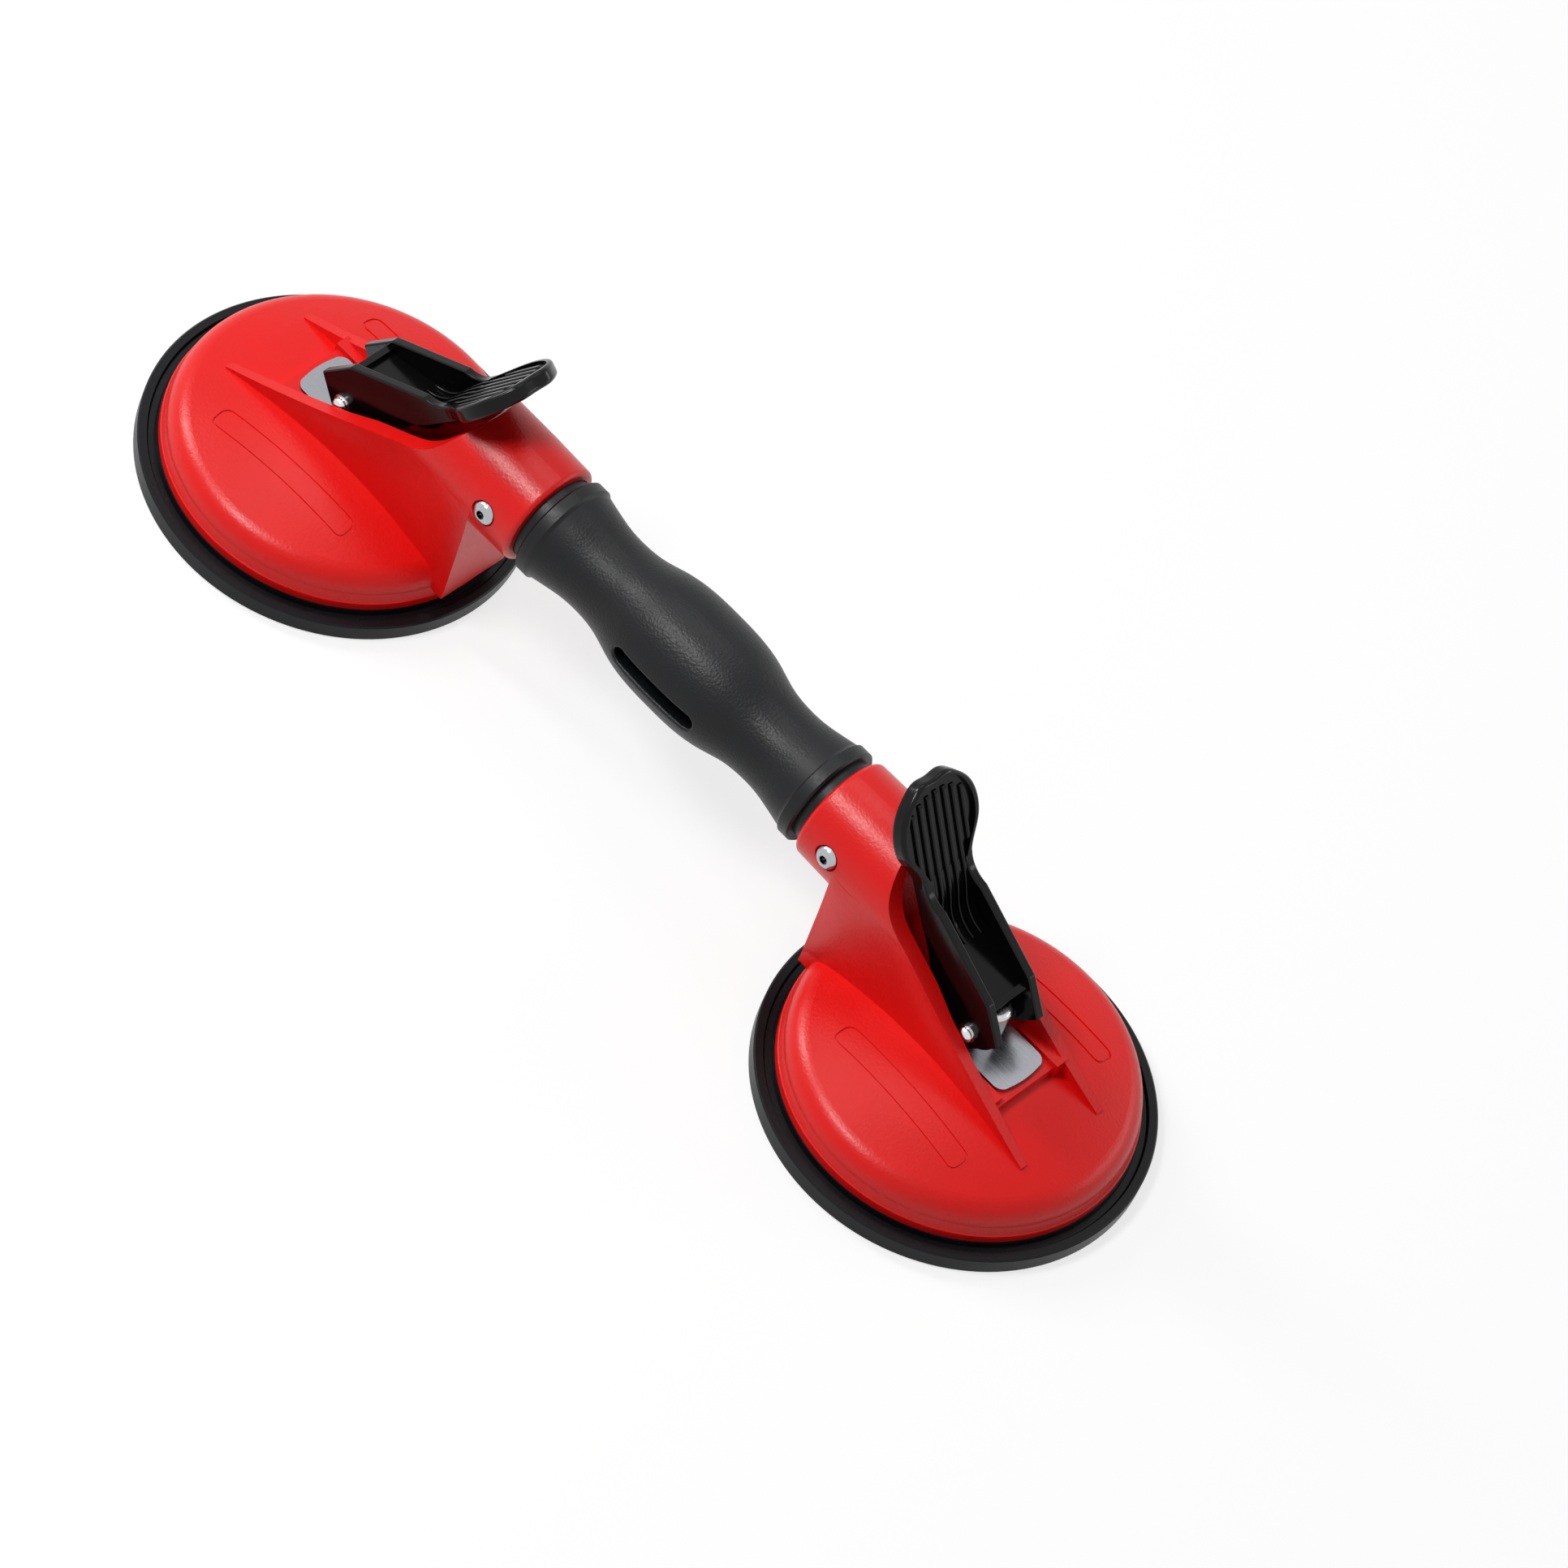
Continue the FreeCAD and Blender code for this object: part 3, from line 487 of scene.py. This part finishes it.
@dataclass(frozen=True)
class MetalFinish:
    """A bare or plated metal finish."""

    name: str
    colour: Rgb
    roughness: float
    line_scale: float
    line_depth: float
    contrast: float = 0.25
    screw_socket: Optional[ScrewSocket] = None

    # the same on every metal
    ROUGH_SWING: ClassVar[float] = 0.12
    SCUFF_ROUGHNESS: ClassVar[float] = 0.08
    LINE_SHADE: ClassVar[float] = 0.55
    STAIN_SHARE: ClassVar[float] = 0.35
    STAIN_SHADE: ClassVar[float] = 0.7
    # tone of the painted shade inside a screw socket
    PAINTED_SHADE_TONE: ClassVar[float] = 0.06

    def make(self, effects: SharedEffects) -> bpy.types.Material:
        """Builds the material.

        Args:
            effects: The shared node groups.

        Returns:
            The finished material.
        """
        material, g, shader, place = start_material(self.name)
        brush = g.add("ShaderNodeGroup", {"Vector": place, "Scale": self.line_scale},
                      node_tree=effects.brushing).outputs
        use = g.add("ShaderNodeGroup", {"Vector": place}, node_tree=effects.handling).outputs
        tone = self._tone(g, brush, use)
        # painted shade: the screw's hexagon socket is darkened in the screw's colour
        if self.screw_socket:
            painted_shade = self.screw_socket.painted_shade(g, place)
            tone = g.blend(painted_shade, tone, rgba(self.colour, self.PAINTED_SHADE_TONE))
        g.join(tone, shader.inputs["Base Color"])
        g.join(1.0, shader.inputs["Metallic"])
        swing = g.maths("MULTIPLY", brush["Lines"], self.ROUGH_SWING)
        rough = g.maths("ADD", self.roughness - self.ROUGH_SWING / 2.0, swing, clamp=True)
        scuffed = g.maths("MULTIPLY", use["Scuffs"], self.SCUFF_ROUGHNESS)
        g.join(g.maths("ADD", rough, scuffed, clamp=True), shader.inputs["Roughness"])
        add_relief(g, shader, brush["Height"], self.line_depth)
        return material

    def _tone(self, g: Graph, brush: bpy.types.NodeOutputs,
              use: bpy.types.NodeOutputs) -> Socket:
        """Lines and stains over the metal's own colour.

        Args:
            g: The material's graph.
            brush: The brushed lines.
            use: The masks of use.

        Returns:
            The colour.
        """
        shade = g.maths("MULTIPLY", brush["Lines"], self.contrast)
        tone = g.blend(shade, rgba(self.colour), rgba(self.colour, self.LINE_SHADE))
        stains = g.maths("MULTIPLY", use["Smears"], self.STAIN_SHARE)
        return g.blend(stains, tone, rgba(self.colour, self.STAIN_SHADE))


Finish = MouldedPlastic | MetalFinish

RED_HOUSING = MouldedPlastic(
    "red_housing", (0.79, 0.004, 0.003), roughness=0.34, grain=Grain.FINE,
    grain_scale=1250.0, grain_depth=0.00009, specular=0.36, scuff_pale=0.04)
GRIP_BLACK = MouldedPlastic(
    "grip_plastic", (0.0018, 0.0023, 0.0032), roughness=0.43, grain=Grain.PEBBLE,
    grain_scale=1300.0, grain_depth=0.00011, specular=0.30, scuff_pale=0.01,
    smooth_beyond=0.0515)
CUP_RUBBER = MouldedPlastic(
    "cup_rubber", (0.0035, 0.0042, 0.0055), roughness=0.36, grain=Grain.FINE,
    grain_scale=1500.0, grain_depth=0.00003, specular=0.18, scuff_pale=0.02, dust=0.02)
LEVER_BLACK = MouldedPlastic(
    "lever_plastic", (0.0018, 0.0018, 0.0022), roughness=0.18, grain=Grain.FINE,
    grain_scale=2000.0, grain_depth=0.000012, specular=0.20, scuff_pale=0.005)
BUSH_WHITE = MouldedPlastic(
    "bush_plastic", (0.62, 0.60, 0.54), roughness=0.4, grain=Grain.POLISHED,
    grain_scale=1500.0, grain_depth=0.00001)
WEAR_STEEL = MetalFinish(
    "wear_steel", (0.36, 0.37, 0.40), roughness=0.24, line_scale=2600.0,
    line_depth=0.000010, contrast=0.35)
PLATE_STEEL = MetalFinish(
    "plate_steel", (0.62, 0.63, 0.64), roughness=0.34, line_scale=900.0,
    line_depth=0.00001)
STUD_STEEL = MetalFinish(
    "stud_steel", (0.66, 0.67, 0.68), roughness=0.24, line_scale=1500.0,
    line_depth=0.000008)
PIN_STEEL = MetalFinish(
    "pin_steel", (0.74, 0.74, 0.75), roughness=0.18, line_scale=1800.0,
    line_depth=0.000006)
CLIP_STEEL = MetalFinish(
    "clip_steel", (0.30, 0.30, 0.31), roughness=0.35, line_scale=1500.0,
    line_depth=0.000008)
SPRING_STEEL = MetalFinish(
    "spring_steel", (0.42, 0.42, 0.43), roughness=0.3, line_scale=1200.0,
    line_depth=0.000006)
ZINC_SCREW = MetalFinish(
    "screw_zinc", (0.50, 0.52, 0.54), roughness=0.20, line_scale=2200.0,
    line_depth=0.00001,
    screw_socket=ScrewSocket(along=0.0715, height=0.060, tilt=math.radians(6.0)))
INSERT_BRASS = MetalFinish(
    "insert_brass", (0.72, 0.50, 0.20), roughness=0.3, line_scale=1500.0,
    line_depth=0.00001)


class Workshop:
    """Everything the sub-assemblies share: the frame, the effects and the finishes."""

    def __init__(self, frame: dict) -> None:
        """Keeps the frame and builds the effects.
        """
        self.frame = frame
        self.effects = SharedEffects()
        self._made: dict[str, bpy.types.Material] = {}

    def material(self, finish: Finish) -> bpy.types.Material:
        """Gives a finish's material, built on first use.

        Args:
            finish: The finish.

        Returns:
            Its material.
        """
        if finish.name not in self._made:
            self._made[finish.name] = finish.make(self.effects)
        return self._made[finish.name]

    def dress(self, node: str, finish: Finish) -> None:
        """Gives a CAD node its finish.

        Args:
            node: The node's name.
            finish: What it is made of.
        """
        piece = self.frame["nodes"][node]
        piece.data.materials.clear()
        piece.data.materials.append(self.material(finish))
        log.info("%s: %s", node, finish.name)


# --------------------------------------------------------------- sub-assemblies
@dataclass
class CupEnd:
    """One cup with its housing, draw gear, lever and clamp screw."""

    hand: Hand
    finishes: dict[str, Finish] = field(default_factory=lambda: {
        "housing": RED_HOUSING,
        "suction_pad": CUP_RUBBER,
        "pull_plate": PLATE_STEEL,
        "draw_stud": STUD_STEEL,
        "guide_bush": BUSH_WHITE,
        "return_spring": SPRING_STEEL,
        "wear_plate": WEAR_STEEL,
        "lever": LEVER_BLACK,
        "lever_pin": PIN_STEEL,
        "pin_clip": CLIP_STEEL,
        "clamp_screw": ZINC_SCREW,
        "clamp_insert": INSERT_BRASS,
    })

    def build(self, shop: Workshop) -> None:
        """Dresses this end's parts."""
        for part, finish in self.finishes.items():
            shop.dress(self.hand.value + part, finish)


@dataclass
class HandleGrip:
    """The black handle between the two ends."""

    finish: Finish = GRIP_BLACK

    def build(self, shop: Workshop) -> None:
        """Dresses the handle."""
        shop.dress("handle_grip", self.finish)


# --------------------------------------------------------------- studio
@dataclass(frozen=True)
class Softbox:
    """A rectangular area lamp, with its power in watts."""

    name: str
    place: Point
    width: float
    height: float
    power: float

    def hang(self, target: Vector) -> None:
        """Puts the lamp in the scene.

        Args:
            target: The point it faces.
        """
        data = bpy.data.lights.new(self.name, "AREA")
        data.shape = "RECTANGLE"
        data.size, data.size_y = self.width, self.height
        data.energy = self.power
        lamp = bpy.data.objects.new(self.name, data)
        lamp.location = self.place
        lamp.rotation_mode = "QUATERNION"
        lamp.rotation_quaternion = (target - Vector(self.place)).to_track_quat("-Z", "Y")
        bpy.context.scene.collection.objects.link(lamp)


@dataclass
class Studio:
    """Pale floor, soft lamps and an even world."""

    target: Point = (0.0, 0.0, 0.03)
    lamps: tuple[Softbox, ...] = (
        Softbox("key", (-0.55, -0.81, 1.66), width=0.52, height=0.39, power=17.2),
        Softbox("left_key", (-1.57, -0.30, 1.15), width=0.27, height=0.78, power=14.4),
        Softbox("overhead", (-0.39, 0.38, 1.40), width=0.80, height=0.55, power=2.6),
        Softbox("back_strip", (0.9, 1.2, 0.65), width=1.2, height=0.25, power=4.0),
    )
    world_level: float = 0.14
    floor_half: float = 3.0
    floor_tone: float = 0.80
    # the floor as the camera and mirrors see it: its tone, and a glow that makes it white
    shown_tone: float = 0.30
    shown_glow: float = 0.74

    def build(self) -> None:
        """Makes the floor, the world and the lamps."""
        self._floor()
        self._world()
        for lamp in self.lamps:
            lamp.hang(Vector(self.target))
        log.info("studio: floor, world and %d softboxes", len(self.lamps))

    def _floor(self) -> None:
        """A white sheet that keeps the part's shadow."""
        bm = bmesh.new()
        bmesh.ops.create_grid(bm, x_segments=1, y_segments=1, size=self.floor_half)
        mesh = bpy.data.meshes.new("studio_floor")
        bm.to_mesh(mesh)
        bm.free()
        floor = bpy.data.objects.new("studio_floor", mesh)
        bpy.context.scene.collection.objects.link(floor)
        mesh.materials.append(self._floor_material())

    def _floor_material(self) -> bpy.types.Material:
        """A pale surface that shows as white, less its shadows.

        Returns:
            The floor's material.
        """
        material = bpy.data.materials.new("floor_white")
        material.use_nodes = True
        g = Graph(material.node_tree)
        g.tree.nodes.clear()
        lit, half = (g.add("ShaderNodeBsdfDiffuse", {"Color": rgba((tone, tone, tone))})
                     for tone in (self.floor_tone, self.shown_tone))
        glow = g.add("ShaderNodeEmission", {"Color": WHITE, "Strength": self.shown_glow})
        shown = g.add("ShaderNodeAddShader", {0: half.outputs[0], 1: glow.outputs[0]})
        mix = g.add("ShaderNodeMixShader",
                    {0: g.seen_directly(), 1: lit.outputs[0], 2: shown.outputs[0]})
        g.add("ShaderNodeOutputMaterial", {"Surface": mix.outputs[0]})
        return material

    def _world(self) -> None:
        """An even light, white where it is seen."""
        world = bpy.data.worlds.new("even_light")
        bpy.context.scene.world = world
        world.use_nodes = True
        g = Graph(world.node_tree)
        back = world.node_tree.nodes["Background"]
        g.join(WHITE, back.inputs["Color"])
        level = g.ramp(g.seen_directly(), WHOLE, (self.world_level, 1.0))
        g.join(level, back.inputs["Strength"])


@dataclass
class ViewCamera:
    """The camera, set by its direction to the part, with its angles in degrees."""

    azimuth: float = 24.64
    elevation: float = 51.52
    roll: float = 25.37
    distance: float = 3.21035
    lens: float = 254.87
    sensor: float = 36.0
    clip: Span = (0.1, 30.0)
    target: Point = (0.02582, 0.03539, 0.0)

    def build(self) -> None:
        """Makes the camera and sets it as the scene's."""
        data = bpy.data.cameras.new("view_camera")
        data.sensor_width = self.sensor
        data.lens = self.lens
        data.clip_start, data.clip_end = self.clip
        camera = bpy.data.objects.new("view_camera", data)
        camera.matrix_world = self._stand()
        bpy.context.scene.collection.objects.link(camera)
        bpy.context.scene.camera = camera
        log.info("camera: %.1f mm at %.2f m", self.lens, self.distance)

    def _stand(self) -> Matrix:
        """Works out where the camera stands and how it is turned.

        Returns:
            Its matrix.
        """
        a, e, r = (math.radians(x) for x in (self.azimuth, self.elevation, self.roll))
        back = Vector((math.sin(a) * math.cos(e), -math.cos(a) * math.cos(e), math.sin(e)))
        right = (-back).cross(Vector((0.0, 0.0, 1.0))).normalized()
        down = -right.cross(-back)
        x_axis = right * math.cos(r) - down * math.sin(r)
        y_axis = -(right * math.sin(r) + down * math.cos(r))
        turn = Matrix((x_axis, y_axis, back)).transposed()
        place = Matrix.Translation(Vector(self.target) + back * self.distance)
        return place @ turn.to_4x4()


def main() -> None:
    """Loads the frame, builds each sub-assembly, the studio and the camera, and sets the view
    transform.
    """
    logging.basicConfig(level=logging.INFO, format="%(name)s: %(message)s")
    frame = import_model()
    shop = Workshop(frame)
    for hand in Hand:
        CupEnd(hand).build(shop)
    HandleGrip().build(shop)
    Studio().build()
    ViewCamera().build()
    bpy.context.scene.view_settings.view_transform = "Standard"


if __name__ == "__main__":
    main()
